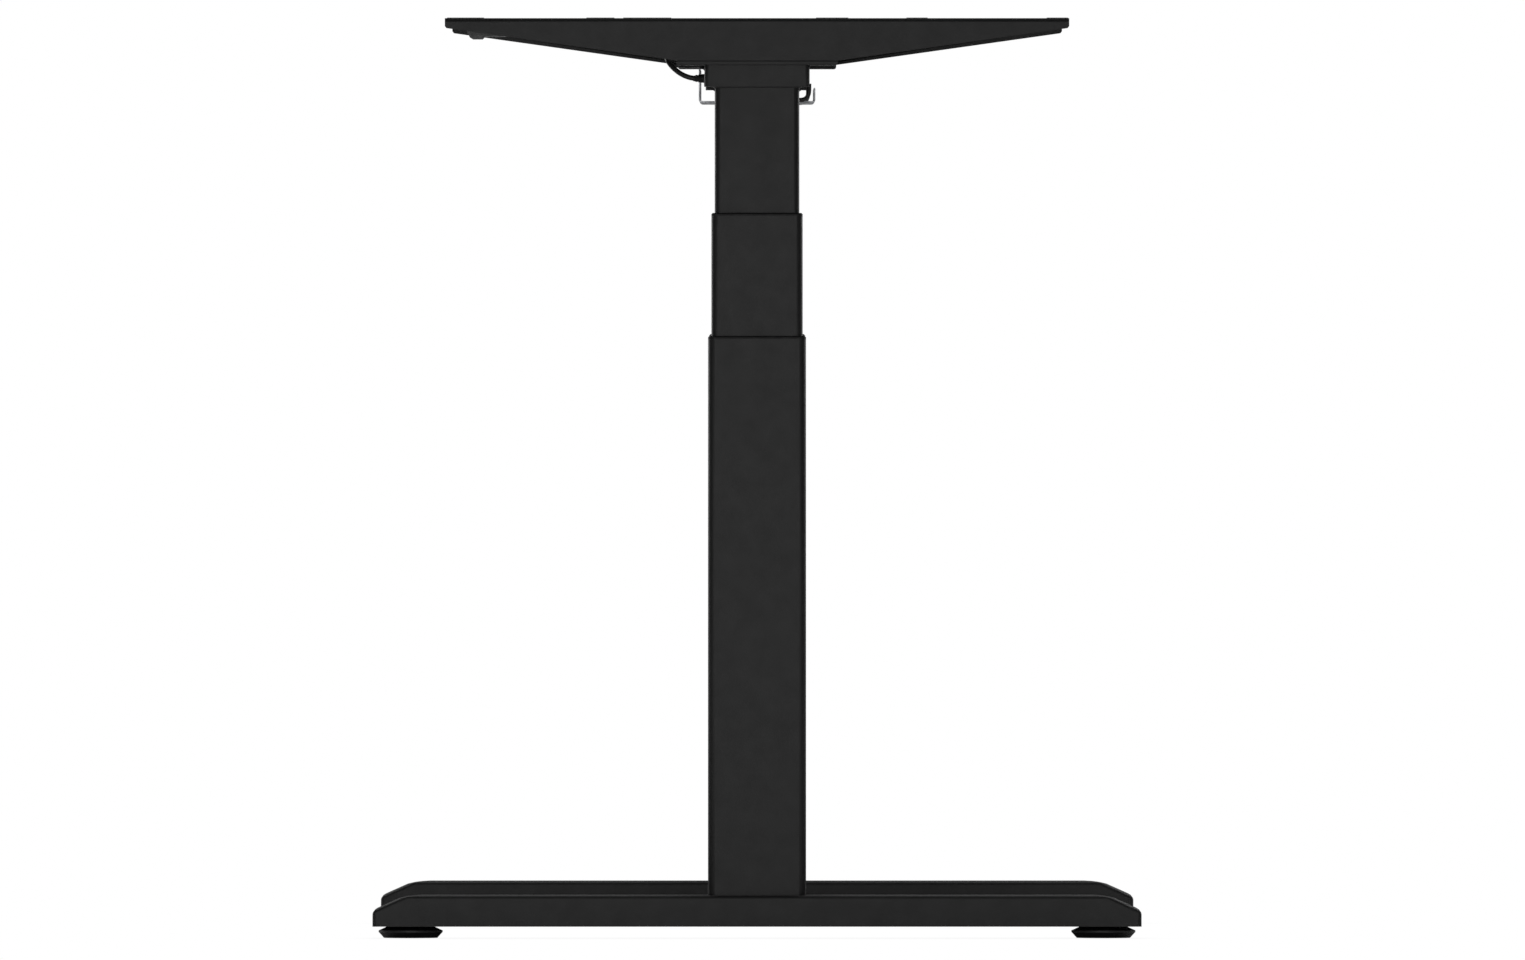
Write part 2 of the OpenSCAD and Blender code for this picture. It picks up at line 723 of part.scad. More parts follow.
module tray_hangers() {
    top = rail_z;
    low = box_z;
    y1 = rail_y + rail_w / 2;
    y0 = hanger_leg_y;
    t = hanger_t;
    color(black) for (i = [-1, 1]) translate([i * hanger_x - hanger_w / 2, 0, 0]) along_x(hanger_w)
        polygon([
            [-y1, top], [-y0 + t, top], [-y0 + t, low + t], [y0 - t, low + t], [y0 - t, top], [y1, top],
            [y1, top - t], [y0, top - t], [y0, low], [-y0, low], [-y0, top - t], [-y1, top - t],
        ]);
}

module cable_tray() {
    deep = 60;
    color(black) translate([-tray_half, 0, 0]) along_x(2 * tray_half) difference() {
        translate([0, tray_z + deep / 2]) rounded(tray_w, deep, tray_r);
        translate([0, tray_z + tray_t + deep / 2])
            rounded(tray_w - 2 * tray_t, deep, tray_r - tray_t);
        translate([-tray_w, tray_top]) square([2 * tray_w, deep]);
        translate([0, tray_z + tray_rear_h]) square([tray_w, deep]);
    }
}

module control_box() {
    half = box_size[0] / 2;
    color(plastic) difference() {
        union() {
            translate([0, 0, box_z]) linear_extrude(box_size[2]) rounded(box_size[0], box_size[1], 6);
            translate([half - 1, -25, gland_z]) rod_x(gland_r, gland_len + 1);
            translate([half - 1, -5, gland_z]) rod_x(gland_r, gland_len + 1);
            translate([-half - gland_len, -25, gland_z]) rod_x(gland_r, gland_len + 1);
        }
        // power inlet, with its two pins left standing
        difference() {
            translate([-half - 1, inlet_y, gland_z]) along_x(11) rounded(17, 9.5, 4);
            for (j = [-1, 1]) translate([-half + 3, inlet_y + j * 4.3, gland_z]) rod_x(1.2, 9);
        }
    }
}

// ---------- handset ----------

// The outline of the handset's side, then of the hollow inside it
hand_outline = [
    [-264.5, 0], [-258, -13], [-255.5, -14.5], [-247, -14.5], [-244.5, -12.1], [-205, -12.1], [-205, 0],
];
hand_hollow = [
    [-261.2, -2], [-256, -12.5], [-248, -12.5], [-245.5, -10.1], [-207, -10.1], [-207, -2],
];

// Puts its children on the handset's face: x along the face, y up it, z out of it
module on_face(x) {
    translate([hand_x + x, face_y, face_z]) rotate([90 + hand_tilt, 0, 0]) children();
}

button_places = [-44, -29, 29, 44];
hand_screw_x = [-34, 34];
hand_screw_y = -232;
hand_plate_t = 1.5;

module handset_shell() {
    color(plastic) difference() {
        union() {
            translate([hand_x - hand_w / 2, 0, hand_top]) along_x(hand_w) polygon(hand_outline);
            translate([372, -206, 816]) rotate([-90, 0, 0]) cylinder(r = 3.5, h = 5);
        }
        translate([hand_x - hand_w / 2 + 2, 0, hand_top]) along_x(hand_w - 4) polygon(hand_hollow);
        for (x = button_places) on_face(x) translate([0, 0, -face_wall - 1])
            linear_extrude(face_wall + 2) rounded(button_w + 0.6, button_h + 0.6, 1.5);
        on_face(0) translate([0, 0, -0.8]) linear_extrude(2) rounded(34, 8.5, 1);
        for (x = hand_screw_x) translate([hand_x + x, hand_screw_y, hand_top - 3]) cylinder(r = 2, h = 4);
    }
}

module button(x) {
    color(plastic) on_face(x) {
        translate([0, 0, -face_wall - 1]) linear_extrude(face_wall + 1 + button_out)
            rounded(button_w, button_h, 1.2);
        translate([0, 0, -face_wall - 1]) linear_extrude(0.6) rounded(button_w + 2, button_h, 1.2);
    }
}

// A plate on the handset's top. Two screws hold the handset to it, and two hold it under the flange.
module handset_bracket() {
    low_x = hand_x - 45;
    high_x = leg_x + 38;
    color(black) difference() {
        translate([(low_x + high_x) / 2, hand_screw_y, hand_top])
            linear_extrude(hand_plate_t) rounded(high_x - low_x, 36, 3);
        for (x = hand_screw_x)
            translate([hand_x + x, hand_screw_y, hand_top - 1]) cylinder(r = 2, h = 4);
        for (p = flange_screw_xy)
            translate([leg_x + p[0], p[1], hand_top - 1]) cylinder(r = 2, h = 4);
        translate([leg_x + desk_hole_x, -desk_hole_y[1], hand_top - 1]) cylinder(r = desk_hole_r + 1, h = 4);
    }
    color(zinc) {
        for (x = hand_screw_x)
            translate([hand_x + x, hand_screw_y, hand_top - 2]) cylinder(r = 1.95, h = 2 + hand_plate_t);
        for (p = flange_screw_xy) translate([leg_x + p[0], p[1], 0]) difference() {
            union() {
                translate([0, 0, hand_top - 2.2]) cylinder(r = 3.5, h = 2.2);
                translate([0, 0, hand_top - 0.5]) cylinder(r = 1.95, h = bracket_top - hand_top + 0.3);
            }
            translate([0, 0, hand_top - 3]) cylinder(r = 1.3, h = 2, $fn = 6);
        }
    }
}

// ---------- cable ----------

module motor_cable() {
    color(rubber) sweep(motor_route, motor_cable_r, 8);
}

// ---------- drawing ----------

leg(-1) foot();  // foot_left
leg(1) foot();  // foot_right
leg(-1) outer_column();  // outer_column_left
leg(1) outer_column();  // outer_column_right
leg(-1) column_bolts();  // column_bolts_left
leg(1) column_bolts();  // column_bolts_right
leg(-1) base_screw();  // base_screw_left
leg(1) base_screw();  // base_screw_right
leg(-1) outer_collar();  // outer_collar_left
leg(1) outer_collar();  // outer_collar_right
leg(-1) mid_tube();  // mid_tube_left
leg(1) mid_tube();  // mid_tube_right
leg(-1) mid_slides();  // mid_slides_left
leg(1) mid_slides();  // mid_slides_right
leg(-1) hollow_screw();  // hollow_screw_left
leg(1) hollow_screw();  // hollow_screw_right
leg(-1) inner_tube();  // inner_tube_left
leg(1) inner_tube();  // inner_tube_right
leg(-1) stage_nut();  // stage_nut_left
leg(1) stage_nut();  // stage_nut_right
leg(-1) inner_slides();  // inner_slides_left
leg(1) inner_slides();  // inner_slides_right
leg(-1) head_box();  // head_box_left
leg(1) head_box();  // head_box_right
leg(-1) head_plate();  // head_plate_left
leg(1) head_plate();  // head_plate_right
leg(-1) gearbox();  // gearbox_left
leg(1) gearbox();  // gearbox_right
leg(-1) motor();  // motor_left
leg(1) motor();  // motor_right
leg(-1) motor_lead();  // motor_lead_left
leg(1) motor_lead();  // motor_lead_right
leg(-1) side_bracket();  // side_bracket_left
leg(1) side_bracket();  // side_bracket_right
leg(-1) head_screws();  // head_screws_left
leg(1) head_screws();  // head_screws_right
leg(-1) desk_pads();  // desk_pads_left
leg(1) desk_pads();  // desk_pads_right
leg(-1) end_rails();  // end_rails_left
leg(1) end_rails();  // end_rails_right
leg(-1) drive_shaft();  // drive_shaft_left
leg(1) drive_shaft();  // drive_shaft_right
leg(-1) worm();  // worm_left
leg(1) worm();  // worm_right
leg(-1) translate([0, -glide_y, 0]) glide();  // glide_front_left
leg(-1) translate([0, glide_y, 0]) glide();  // glide_rear_left
leg(1) translate([0, -glide_y, 0]) glide();  // glide_front_right
leg(1) translate([0, glide_y, 0]) glide();  // glide_rear_right
centre_rails();
tray_hangers();
cable_tray();
control_box();
clamp_screws();
handset_bracket();
handset_shell();
button(button_places[0]);  // button_memory_1
button(button_places[1]);  // button_memory_2
button(button_places[2]);  // button_up
button(button_places[3]);  // button_down
motor_cable();
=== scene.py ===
"""A height adjustable standing desk: looks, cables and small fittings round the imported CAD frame."""

import json
import math

import bmesh
import bpy
from mathutils import Matrix, Vector


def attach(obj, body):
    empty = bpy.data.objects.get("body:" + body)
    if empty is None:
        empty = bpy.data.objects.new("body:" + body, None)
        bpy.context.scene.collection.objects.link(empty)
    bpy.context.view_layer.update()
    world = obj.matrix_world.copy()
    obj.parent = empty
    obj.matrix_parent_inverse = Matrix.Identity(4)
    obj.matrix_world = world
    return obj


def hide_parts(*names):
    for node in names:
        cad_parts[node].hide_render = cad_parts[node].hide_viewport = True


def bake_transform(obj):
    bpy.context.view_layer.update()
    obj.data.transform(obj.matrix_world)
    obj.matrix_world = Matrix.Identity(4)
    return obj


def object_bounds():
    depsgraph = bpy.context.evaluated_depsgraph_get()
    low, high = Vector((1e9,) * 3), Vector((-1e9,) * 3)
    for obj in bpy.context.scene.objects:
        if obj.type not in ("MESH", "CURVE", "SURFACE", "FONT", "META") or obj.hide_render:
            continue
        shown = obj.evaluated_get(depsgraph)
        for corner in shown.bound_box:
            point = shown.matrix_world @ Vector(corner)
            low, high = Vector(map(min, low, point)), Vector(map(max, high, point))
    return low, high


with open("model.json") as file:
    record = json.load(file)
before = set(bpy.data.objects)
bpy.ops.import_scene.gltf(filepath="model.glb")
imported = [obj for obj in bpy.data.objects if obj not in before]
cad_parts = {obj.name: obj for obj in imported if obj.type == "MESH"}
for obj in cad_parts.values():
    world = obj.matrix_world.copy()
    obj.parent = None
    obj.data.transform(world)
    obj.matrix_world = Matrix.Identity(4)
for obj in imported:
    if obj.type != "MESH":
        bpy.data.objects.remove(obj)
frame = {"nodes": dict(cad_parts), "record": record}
cad_low, cad_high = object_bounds()
nodes = frame["nodes"]
MM = 0.001
SIDES = {"left": -1, "right": 1}


def mm(*values):
    """Millimetres to a vector in metres."""
    return Vector(values) * MM


# ---------- camera ----------

SENSOR = 36.0
LENS = 1080.0
FRAME_ASPECT = 1525 / 960
VIEW_HEIGHT = 0.8612         # height that the frame covers at the near leg
VIEW_CENTRE = (0.0049, 0.4112)  # what the camera looks at: y and z
CAMERA_RISE = 0.21           # how far the camera stands above what it looks at
NEAR_PLANE = cad_high.x - 0.010


def make_camera():
    """A very long lens off the right end of the desk, so that the view is close to a flat elevation."""
    data = bpy.data.cameras.new("camera")
    data.lens = LENS
    data.sensor_width = SENSOR
    data.clip_end = 300.0
    distance = VIEW_HEIGHT * FRAME_ASPECT * LENS / SENSOR
    camera = bpy.data.objects.new("camera", data)
    aim = Vector((NEAR_PLANE, *VIEW_CENTRE))
    camera.location = aim + Vector((distance, 0, CAMERA_RISE))
    camera.rotation_euler = (aim - camera.location).to_track_quat("-Z", "Y").to_euler()
    bpy.context.scene.collection.objects.link(camera)
    bpy.context.scene.camera = camera


make_camera()

# ---------- mesh helpers ----------

SHARP_SHADING = math.radians(35)   # shading breaks across edges sharper than this
SHARP_FITTING = math.radians(30)   # edges of small fittings that are rounded
SHARP_NODE = math.radians(40)      # edges of CAD nodes that are rounded
ROUND_STEPS = 2                    # segments across a rounded edge
WELD_GAP = 1e-5                    # a CAD node's vertices this close are one
ON_AXIS = 1e-6                     # a profile's point this close to the axis lies on it


def new_object(name, mesh, material=None):
    """Links a mesh to the scene under that name."""
    piece = bpy.data.objects.new(name, mesh)
    bpy.context.scene.collection.objects.link(piece)
    if material:
        piece.data.materials.append(material)
    return piece


def smooth(mesh):
    """Shades a mesh smooth except across its sharp edges."""
    mesh.shade_smooth()
    mesh.set_sharp_from_angle(angle=SHARP_SHADING)


def finish_bmesh(name, bm, material, bevel=0.0):
    """Turns a bmesh into a piece, its sharp edges rounded by bevel."""
    bmesh.ops.recalc_face_normals(bm, faces=bm.faces)
    if bevel:
        sharp = [e for e in bm.edges if len(e.link_faces) == 2 and e.calc_face_angle() > SHARP_FITTING]
        bmesh.ops.bevel(bm, geom=sharp, offset=bevel, segments=ROUND_STEPS, profile=0.5, affect="EDGES")
    mesh = bpy.data.meshes.new(name)
    bm.to_mesh(mesh)
    bm.free()
    smooth(mesh)
    return new_object(name, mesh, material)


def add_lathe(bm, profile, matrix, steps):
    """Adds a turned solid: profile is (radius, height) points, from the axis and back to it."""
    rings = []
    for radius, height in profile:
        if radius < ON_AXIS:
            rings.append([bm.verts.new(matrix @ Vector((0, 0, height)))])
            continue
        turn = [2 * math.pi * k / steps for k in range(steps)]
        rings.append([bm.verts.new(matrix @ Vector((radius * math.cos(a), radius * math.sin(a), height)))
                      for a in turn])
    for low, high in zip(rings, rings[1:]):
        for k in range(steps):
            following = (k + 1) % steps
            corners = [low[k % len(low)], low[following % len(low)],
                       high[following % len(high)], high[k % len(high)]]
            corners = list(dict.fromkeys(corners))
            if len(corners) > 2:
                bm.faces.new(corners)


def add_block(bm, low, high, matrix=Matrix.Identity(4)):
    """Adds a box between two corners."""
    points = [bm.verts.new(matrix @ Vector((x, y, z)))
              for x in (low[0], high[0]) for y in (low[1], high[1]) for z in (low[2], high[2])]
    for quad in ((0, 1, 3, 2), (4, 6, 7, 5), (0, 4, 5, 1), (2, 3, 7, 6), (0, 2, 6, 4), (1, 5, 7, 3)):
        bm.faces.new([points[k] for k in quad])


def add_prism(bm, outline, depth, matrix):
    """Adds a flat outline, given as (x, y) points, thickened by depth along z."""
    low = [bm.verts.new(matrix @ Vector((x, y, 0))) for x, y in outline]
    high = [bm.verts.new(matrix @ Vector((x, y, depth))) for x, y in outline]
    bm.faces.new(low[::-1])
    bm.faces.new(high)
    for k in range(len(outline)):
        following = (k + 1) % len(outline)
        bm.faces.new([low[k], low[following], high[following], high[k]])


def turned(direction, at):
    """The matrix that turns +Z to direction and moves it to at."""
    return Matrix.Translation(at) @ Vector(direction).to_track_quat("Z", "Y").to_matrix().to_4x4()


def blended(p, q, t, start, end):
    """The point as far from p to q as t is from start to end."""
    return p.lerp(q, (t - start) / (end - start))


def smooth_route(points, spacing):
    """A centripetal curve through the points, sampled about every spacing."""
    points = [Vector(p) for p in points]
    padded = [2 * points[0] - points[1], *points, 2 * points[-1] - points[-2]]
    line = []
    for a, b, c, d in zip(padded, padded[1:], padded[2:], padded[3:]):
        knots = [0.0]
        for p, q in ((a, b), (b, c), (c, d)):
            knots.append(knots[-1] + max((q - p).length, 1e-6) ** 0.5)
        count = max(1, round((c - b).length / spacing))
        for k in range(count):
            t = knots[1] + (knots[2] - knots[1]) * k / count
            first = [blended(p, q, t, knots[i], knots[i + 1])
                     for i, (p, q) in enumerate(((a, b), (b, c), (c, d)))]
            second = [blended(first[i], first[i + 1], t, knots[i], knots[i + 2]) for i in range(2)]
            line.append(blended(second[0], second[1], t, knots[1], knots[2]))
    return [*line, points[-1]]


def tube_along(name, line, radius, material, sides=16):
    """A closed tube whose rings turn as little as they can along the line."""
    bm = bmesh.new()
    normal = Vector((0.1, 0.2, 1))
    rings = []
    for k, point in enumerate(line):
        ahead = (line[min(k + 1, len(line) - 1)] - line[max(k - 1, 0)]).normalized()
        normal = (normal - ahead * normal.dot(ahead)).normalized()
        across = ahead.cross(normal)
        turn = [2 * math.pi * i / sides for i in range(sides)]
        rings.append([bm.verts.new(point + radius * (math.cos(a) * normal + math.sin(a) * across))
                      for a in turn])
    for low, high in zip(rings, rings[1:]):
        for i in range(sides):
            bm.faces.new([low[i], low[(i + 1) % sides], high[(i + 1) % sides], high[i]])
    bm.faces.new(rings[0][::-1])
    bm.faces.new(rings[-1])
    return finish_bmesh(name, bm, material)


# ---------- materials ----------

NOISE_RANGE = (0.3, 0.7)     # most of a noise pattern lies between these values
CELL_RANGE = (0.1, 0.6)      # the same for a cell pattern


def set_range(node, start, end, low, high):
    """Sets a map range node to take start..end to low..high."""
    for socket, value in zip(("From Min", "From Max", "To Min", "To Max"), (start, end, low, high)):
        node.inputs[socket].default_value = value


class Shader:
    """A material's node tree, with its Principled shader and object coordinates to hand."""

    def __init__(self, name, **sockets):
        self.material = bpy.data.materials.new(name)
        self.material.use_nodes = True
        self.tree = self.material.node_tree
        self.shader = self.tree.nodes["Principled BSDF"]
        self.place = self.tree.nodes.new("ShaderNodeTexCoord").outputs["Object"]
        for socket, value in sockets.items():
            self.shader.inputs[socket.replace("_", " ")].default_value = value

    def link(self, source, target):
        self.tree.links.new(source, target)

    def noise(self, scale, detail=3.0, roughness=0.5):
        """A noise pattern: scale is in cells per metre."""
        node = self.tree.nodes.new("ShaderNodeTexNoise")
        node.inputs["Scale"].default_value = scale
        node.inputs["Detail"].default_value = detail
        node.inputs["Roughness"].default_value = roughness
        self.link(self.place, node.inputs["Vector"])
        return node.outputs["Fac"]

    def cells(self, scale):
        """A cell pattern, as distance to the nearest centre."""
        node = self.tree.nodes.new("ShaderNodeTexVoronoi")
        node.inputs["Scale"].default_value = scale
        self.link(self.place, node.inputs["Vector"])
        return node.outputs["Distance"]

    def rings(self, scale):
        """Even bands up the Z axis, about scale times 20 / 2 pi of them per metre."""
        node = self.tree.nodes.new("ShaderNodeTexWave")
        node.bands_direction = "Z"
        node.inputs["Scale"].default_value = scale
        self.link(self.place, node.inputs["Vector"])
        return node.outputs["Fac"]

    def spread(self, source, low, high):
        """Maps source's usual range to low..high."""
        node = self.tree.nodes.new("ShaderNodeMapRange")
        set_range(node, *NOISE_RANGE, low, high)
        self.link(source, node.inputs["Value"])
        return node.outputs["Result"]

    def colour(self, source, first, second, span=NOISE_RANGE):
        """Base colour that goes from first to second as the pattern goes over its span."""
        node = self.tree.nodes.new("ShaderNodeValToRGB")
        for element, position, colour in zip(node.color_ramp.elements, span, (first, second)):
            element.position = position
            element.color = (*colour, 1)
        self.link(source, node.inputs["Fac"])
        self.link(node.outputs["Color"], self.shader.inputs["Base Color"])

    def roughness(self, source, low, high):
        self.link(self.spread(source, low, high), self.shader.inputs["Roughness"])

    def bump(self, *layers):
        """Stacks bumps: each layer is (pattern, height in metres)."""
        normal = None
        for source, height in layers:
            node = self.tree.nodes.new("ShaderNodeBump")
            node.inputs["Distance"].default_value = height
            self.link(source, node.inputs["Height"])
            if normal:
                self.link(normal, node.inputs["Normal"])
            normal = node.outputs["Normal"]
        self.link(normal, self.shader.inputs["Normal"])


def grey(value):
    return (value, value, value)


def powder_coat():
    """Satin black powder coat, with its fine orange peel and a faint cloudiness."""
    paint = Shader("powder_coat", IOR=1.45)
    cloud = paint.noise(9, 4, 0.6)
    peel = paint.noise(650, 2)
    paint.colour(cloud, grey(0.0205), grey(0.0230))
    paint.roughness(paint.noise(60, 3), 0.50, 0.54)
    paint.bump((peel, 0.00006), (paint.noise(2600, 1), 0.00002))
    return paint.material


def black_plastic(name, value, low, high, grain, height):
    """Moulded black plastic with a spark-eroded grain."""
    plastic = Shader(name, IOR=1.48)
    plastic.colour(plastic.noise(14, 3), grey(value * 0.85), grey(value * 1.15))
    plastic.roughness(plastic.noise(180, 2), low, high)
    plastic.bump((plastic.noise(grain, 2, 0.6), height))
    return plastic.material


def galvanised_steel():
    """Dull galvanised sheet, with its patchwork of zinc crystals."""
    sheet = Shader("galvanised_steel", Metallic=0.85)
    sheet.colour(sheet.cells(140), (0.40, 0.41, 0.43), (0.52, 0.53, 0.55), CELL_RANGE)
    sheet.roughness(sheet.cells(90), 0.38, 0.55)
    sheet.bump((sheet.noise(700, 3), 0.00003))
    return sheet.material


def zinc_plate():
    """Bright zinc plate on fasteners, slightly blue, with handling marks."""
    zinc = Shader("zinc_plate", Metallic=1.0)
    zinc.colour(zinc.noise(220, 3), (0.50, 0.52, 0.55), (0.66, 0.67, 0.69))
    zinc.roughness(zinc.noise(500, 3), 0.22, 0.40)
    zinc.bump((zinc.noise(1800, 2), 0.00002))
    return zinc.material


def machined_steel():
    """Turned steel under a film of grease: fine rings round the screws."""
    steel = Shader("machined_steel", Metallic=1.0)
    steel.colour(steel.noise(80, 3), (0.40, 0.41, 0.42), (0.52, 0.53, 0.55))
    steel.roughness(steel.noise(300, 2), 0.20, 0.34)
    steel.bump((steel.rings(320), 0.00012))
    return steel.material


def natural_nylon():
    nylon = Shader("natural_nylon", Subsurface_Weight=0.15, Subsurface_Scale=0.004)
    nylon.shader.inputs["Subsurface Radius"].default_value = (1.0, 0.9, 0.7)
    nylon.colour(nylon.noise(40, 3), (0.70, 0.67, 0.58), (0.79, 0.77, 0.69))
    nylon.roughness(nylon.noise(200, 2), 0.38, 0.50)
    nylon.bump((nylon.noise(900, 2), 0.00003))
    return nylon.material


def cast_alloy():
    alloy = Shader("cast_alloy", Metallic=1.0)
    alloy.colour(alloy.noise(120, 4), (0.50, 0.51, 0.52), (0.62, 0.63, 0.64))
    alloy.roughness(alloy.noise(260, 3), 0.42, 0.60)
    alloy.bump((alloy.noise(700, 3, 0.7), 0.00010))
    return alloy.material


def black_enamel():
    """Smooth black enamel on the motor cans."""
    enamel = Shader("black_enamel", Coat_Weight=0.35, Coat_Roughness=0.18)
    enamel.colour(enamel.noise(30, 3), grey(0.010), grey(0.014))
    enamel.roughness(enamel.noise(90, 3), 0.30, 0.42)
    enamel.bump((enamel.noise(320, 2), 0.00004))
    return enamel.material


def foam_rubber():
    foam = Shader("foam_rubber", IOR=1.45, Sheen_Weight=0.25, Sheen_Roughness=0.6)
    foam.colour(foam.cells(1500), grey(0.006), grey(0.018), CELL_RANGE)
    foam.roughness(foam.noise(400, 2), 0.78, 0.92)
    foam.bump((foam.cells(1500), 0.00012))
    return foam.material


def cable_sheath():
    """Black PVC, a little shiny, with faint marks from the cores inside."""
    sheath = Shader("cable_sheath", IOR=1.48, Coat_Weight=0.1, Coat_Roughness=0.3)
    sheath.colour(sheath.noise(50, 3), grey(0.009), grey(0.015))
    sheath.roughness(sheath.noise(120, 3), 0.36, 0.50)
    sheath.bump((sheath.noise(45, 2), 0.00015), (sheath.noise(1400, 1), 0.00002))
    return sheath.material


def display_glass():
    glass = Shader("display_glass", Coat_Weight=1.0, Coat_Roughness=0.03, IOR=1.5)
    glass.colour(glass.noise(25, 2), (0.004, 0.004, 0.006), (0.007, 0.007, 0.010))
    glass.roughness(glass.noise(200, 2), 0.05, 0.10)
    return glass.material


def lit_segment():
    lit = Shader("lit_segment", Emission_Strength=1.4)
    lit.shader.inputs["Emission Color"].default_value = (0.80, 0.90, 1.0, 1)
    lit.colour(lit.noise(300, 2), (0.55, 0.60, 0.66), (0.62, 0.68, 0.74))
    return lit.material


def key_print():
    """Pale grey ink on the keys."""
    ink = Shader("key_print")
    ink.colour(ink.noise(900, 2), grey(0.42), grey(0.52))
    ink.roughness(ink.noise(500, 2), 0.5, 0.62)
    return ink.material


def brass_pin():
    brass = Shader("brass_pin", Metallic=1.0)
    brass.colour(brass.noise(300, 3), (0.66, 0.47, 0.20), (0.76, 0.56, 0.26))
    brass.roughness(brass.noise(600, 2), 0.20, 0.32)
    return brass.material


PAINT = powder_coat()
GALVANISED = galvanised_steel()
ZINC = zinc_plate()
STEEL = machined_steel()
NYLON = natural_nylon()
ALLOY = cast_alloy()
ENAMEL = black_enamel()
FOAM = foam_rubber()
SHEATH = cable_sheath()
COLLAR = black_plastic("collar_nylon", 0.008, 0.58, 0.68, 1100, 0.00003)
GLIDE = black_plastic("glide_plastic", 0.008, 0.40, 0.52, 900, 0.00004)
BAND = black_plastic("glide_band", 0.045, 0.45, 0.60, 700, 0.00005)
BOX = black_plastic("box_plastic", 0.014, 0.50, 0.62, 1300, 0.00006)
SHELL = black_plastic("handset_shell", 0.011, 0.30, 0.40, 1500, 0.00002)
KEY = black_plastic("key_plastic", 0.028, 0.46, 0.56, 1700, 0.00002)
GROMMET = black_plastic("grommet_rubber", 0.009, 0.55, 0.70, 500, 0.00006)
GLASS = display_glass()
LIT = lit_segment()
INK = key_print()
BRASS = brass_pin()

SLOT_MATERIALS = {
    "frame_paint": PAINT, "galvanised_steel": GALVANISED, "zinc": ZINC, "machined_steel": STEEL,
    "cast_alloy": ALLOY, "motor_black": ENAMEL, "nylon": NYLON, "collar_plastic": COLLAR,
    "glide_plastic": GLIDE, "box_plastic": BOX, "handset_plastic": SHELL, "button_plastic": KEY,
    "pad_rubber": FOAM, "cable_black": SHEATH,
}

# How far the sharp edges of each finish are rounded, in millimetres
EDGE_ROUND = {
    "frame_paint": 0.6, "galvanised_steel": 0.3, "zinc": 0.3, "motor_black": 0.5,
    "collar_plastic": 0.2, "glide_plastic": 0.6, "box_plastic": 0.8, "handset_plastic": 0.4,
    "button_plastic": 0.4, "pad_rubber": 0.12,
}

# The same for the nodes of each leg whose edges are rounder than their finish's
NODE_ROUND = {"foot": 1.2, "side_bracket": 1.1, "head_plate": 1.0, "head_box": 1.0}


def dress_nodes():
    """Gives every CAD node its material, and rounds the edges that show."""
    for part in frame["record"]["subparts"]:
        node = nodes[part["node"]]
        slot = part["material_slot"]
        node.data.materials.clear()
        node.data.materials.append(SLOT_MATERIALS[slot])
        width = NODE_ROUND.get(part["node"].rsplit("_", 1)[0], EDGE_ROUND.get(slot))
        if width:
            weld = node.modifiers.new("weld", "WELD")
            weld.merge_threshold = WELD_GAP
            edges = node.modifiers.new("edges", "BEVEL")
            edges.width = width * MM
            edges.segments = ROUND_STEPS
            edges.limit_method = "ANGLE"
            edges.angle_limit = SHARP_NODE
            edges.use_clamp_overlap = True
            edges.harden_normals = False


dress_nodes()

# ---------- cables ----------

# Places on the desk, in millimetres
LEG_X = 455                  # each leg's axis
HEAD_PORT = (443, -48.7, 771.6)   # where the motor's cable leaves the head box
BOX_PORT = (124, -25, 768)   # where it enters the control box
LEAD_PORT = (-13, 759.3)     # y and z of the hole for the lead in the motor's end

# Points that each cable's centreline passes through
MOTOR_ROUTE = [
    HEAD_PORT, (443, -53, 771.6), (442.5, -59.5, 772.2), (441, -67, 775), (438.5, -74, 780),
    (435, -79.5, 786.5), (428, -81.5, 792), (415, -80.5, 795), (395, -77, 795.3), (360, -75, 795),
    (320, -75, 794.5), (285, -75, 795), (250, -75.5, 795.2), (222, -77.5, 794.8), (205, -80, 793),
    (193, -80.5, 789.5), (185.5, -76.5, 785.8), (181, -70, 784.4), (178.8, -61.5, 784.3),
    (178.7, -53.5, 784.4), (180, -48.3, 783), (182.2, -44, 778.8), (185.5, -40, 772),
    (190, -35.3, 765.3), (196.5, -29.5, 760), (204.5, -23.5, 757.4), (214, -19, 756.8),
    (226, -17.5, 756.8), (237, -19, 756.5), (249, -23, 755.2), (262, -27, 754.3),
    (274, -28.5, 754.2), (284, -25, 754.2), (289.5, -16.5, 754.2), (287, -7.5, 754.2),
    (277, -3.2, 754.2), (262, -3, 754.3), (248, -3.5, 755.3), (236, -5, 756.6), (226, -7, 756.8),
    (214, -10, 756.8), (203, -12.5, 757), (189, -16, 758.4), (174, -20, 761.5), (160, -23, 764.8),
    (147, -24.7, 767.2), (136, -25, 768), BOX_PORT,
]
LEAD_ROUTE = [               # from the leg's axis
    (-30, 46.8, 767), (-30, 46.8, 763), (-30, 46.6, 759), (-30, 45.4, 755.5), (-30, 42.8, 753.1),
    (-30, 39, 752.3), (-30, 31, 752.3), (-30, 22, 752.3), (-30, 13, 752.3), (-30, 6, 752.9),
    (-30.1, 0, 754.4), (-30.6, -5, 756.3), (-32, -9.3, 757.9), (-34.6, -12.2, 758.9),
    (-38, *LEAD_PORT), (-44, *LEAD_PORT),
]
MOTOR_CABLE_R = 0.0023
LEAD_R = 0.002
LINE_STEP = 0.002            # spacing of a cable's rings


def sheathed(name, points, radius, node):
    """A cable that stands for its CAD node. Gives the piece, and the line that it follows."""
    line = smooth_route(points, LINE_STEP)
    piece = tube_along(name, line, radius, SHEATH)
    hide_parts(node)
    return piece, line


